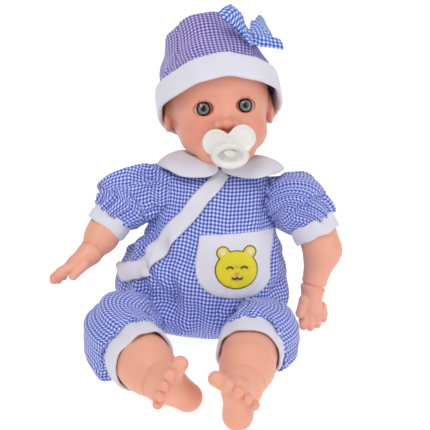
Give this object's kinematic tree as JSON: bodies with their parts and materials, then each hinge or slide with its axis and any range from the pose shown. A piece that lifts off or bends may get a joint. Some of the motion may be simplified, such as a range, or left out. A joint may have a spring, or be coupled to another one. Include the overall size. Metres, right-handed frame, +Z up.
{
  "type": "baby doll",
  "caption": "Seated soft-bodied baby doll with vinyl head and limbs, gingham romper, brimmed hat with a bow, a pull-out pacifier and a sound module in the belly.",
  "frame": {"origin": "centre of the flat seat, below the line through both hips", "axes": "+Z up, the doll faces -Y, +X to its left"},
  "size_m": [0.272, 0.3395, 0.3053],
  "materials": {
    "calico": "matte",
    "stuffing": "matte",
    "case_plastic": "satin",
    "steel": "satin",
    "battery_sleeve": "gloss",
    "speaker_black": "matte",
    "board_green": "satin",
    "button_red": "satin",
    "gingham": "matte",
    "hat_gingham": "matte",
    "bow_gingham": "matte",
    "white_cloth": "matte",
    "bear_yellow": "satin",
    "nylon_tie": "satin",
    "vinyl_skin": "satin",
    "eye_white": "gloss",
    "iris_grey": "gloss",
    "eye_clear": "polished",
    "pacifier_white": "satin"
  },
  "bodies": {
    "torso": {"torso_bag": "calico", "torso_stuffing": "stuffing", "module_front_case": "case_plastic", "module_rear_case": "case_plastic", "battery_door": "case_plastic", "battery_door_screw": "steel", "batteries": "battery_sleeve", "battery_contacts": "steel", "speaker": "speaker_black", "circuit_board": "board_green", "case_screws": "steel", "romper_bodice": "gingham", "romper_seat": "gingham", "collar_right": "white_cloth", "collar_left": "white_cloth", "placket": "white_cloth", "pocket": "white_cloth", "bear_patch": "bear_yellow"},
    "belly_button": {"belly_button": "button_red"},
    "power_switch": {"power_switch": "speaker_black"},
    "neck": {"neck_casing": "calico", "neck_tie": "nylon_tie"},
    "head": {"head_shell": "vinyl_skin", "right_eyeball": "eye_white", "left_eyeball": "eye_white", "right_iris": "iris_grey", "left_iris": "iris_grey", "eye_lenses": "eye_clear", "eye_cups": "case_plastic", "mouth_socket": "vinyl_skin", "reed_switch": "board_green"},
    "hat": {"hat_crown": "hat_gingham", "hat_band": "white_cloth", "bow_loops": "bow_gingham", "bow_tails": "bow_gingham", "bow_knot": "bow_gingham"},
    "pacifier": {"pacifier_shield": "pacifier_white", "pacifier_nipple": "pacifier_white", "pacifier_ring": "pacifier_white", "pacifier_magnet": "steel"},
    "right_upper_arm": {"right_upper_arm": "calico", "right_sleeve": "gingham", "right_sleeve_cuff": "white_cloth", "right_arm_tie": "nylon_tie"},
    "right_arm": {"right_arm": "vinyl_skin"},
    "right_thigh": {"right_thigh": "calico", "right_trouser_leg": "gingham", "right_trouser_cuff": "white_cloth", "right_leg_tie": "nylon_tie"},
    "right_leg": {"right_leg": "vinyl_skin"},
    "left_upper_arm": {"left_upper_arm": "calico", "left_sleeve": "gingham", "left_sleeve_cuff": "white_cloth", "left_arm_tie": "nylon_tie"},
    "left_arm": {"left_arm": "vinyl_skin"},
    "left_thigh": {"left_thigh": "calico", "left_trouser_leg": "gingham", "left_trouser_cuff": "white_cloth", "left_leg_tie": "nylon_tie"},
    "left_leg": {"left_leg": "vinyl_skin"}
  },
  "joints": [
    {"name": "neck_nod", "type": "hinge", "parent": "torso", "child": "neck", "pos_m": [0.01801, 0.03739, 0.1562], "axis": [0.9962, 0, -0.0872], "range_deg": [-12, 5]},
    {"name": "head_turn", "type": "hinge", "parent": "neck", "child": "head", "pos_m": [0.01801, 0.03739, 0.1562], "axis": [-0.0882, 0.3983, 0.913], "range_deg": [-40, 40]},
    {"name": "hat_lift", "type": "slide", "parent": "head", "child": "hat", "axis": [-0.1371, 0.8463, 0.5147], "range_m": [0, 0.09]},
    {"name": "pacifier_pull", "type": "slide", "parent": "head", "child": "pacifier", "axis": [0.1131, -0.9066, 0.4065], "range_m": [0, 0.045]},
    {"name": "belly_button_press", "type": "slide", "parent": "torso", "child": "belly_button", "axis": [-0.0269, 0.9511, -0.3078], "range_m": [0, 0.003], "stiffness_N_per_m": 300, "springref_m": -0.002},
    {"name": "power_switch_slide", "type": "slide", "parent": "torso", "child": "power_switch", "axis": [0.9962, 0, -0.0872], "range_m": [0, 0.004]},
    {"name": "right_shoulder_swing", "type": "hinge", "parent": "torso", "child": "right_upper_arm", "pos_m": [-0.04898, 0.02719, 0.13056], "axis": [0.9962, 0, -0.0872], "range_deg": [-100, 35]},
    {"name": "right_arm_twist", "type": "hinge", "parent": "right_upper_arm", "child": "right_arm", "pos_m": [-0.09, 0.004, 0.112], "axis": [-0.5997, -0.3498, -0.7197], "range_deg": [-25, 25]},
    {"name": "left_shoulder_swing", "type": "hinge", "parent": "torso", "child": "left_upper_arm", "pos_m": [0.06957, 0.02719, 0.12019], "axis": [0.9962, 0, -0.0872], "range_deg": [-100, 20]},
    {"name": "left_arm_twist", "type": "hinge", "parent": "left_upper_arm", "child": "left_arm", "pos_m": [0.104, 0.002, 0.107], "axis": [0.4387, -0.2991, -0.8474], "range_deg": [-25, 25]},
    {"name": "right_hip_swing", "type": "hinge", "parent": "torso", "child": "right_thigh", "pos_m": [0, 0, 0.042], "axis": [1, 0, 0], "range_deg": [-12, 75]},
    {"name": "right_leg_twist", "type": "hinge", "parent": "right_thigh", "child": "right_leg", "pos_m": [-0.06, -0.108, 0.0306], "axis": [0.515, -0.857, -0.02], "range_deg": [-15, 15]},
    {"name": "left_hip_swing", "type": "hinge", "parent": "torso", "child": "left_thigh", "pos_m": [0, 0, 0.042], "axis": [1, 0, 0], "range_deg": [-12, 75]},
    {"name": "left_leg_twist", "type": "hinge", "parent": "left_thigh", "child": "left_leg", "pos_m": [0.042, -0.099, 0.0325], "axis": [-0.1761, -0.9815, -0.075], "range_deg": [-15, 15]}
  ]
}
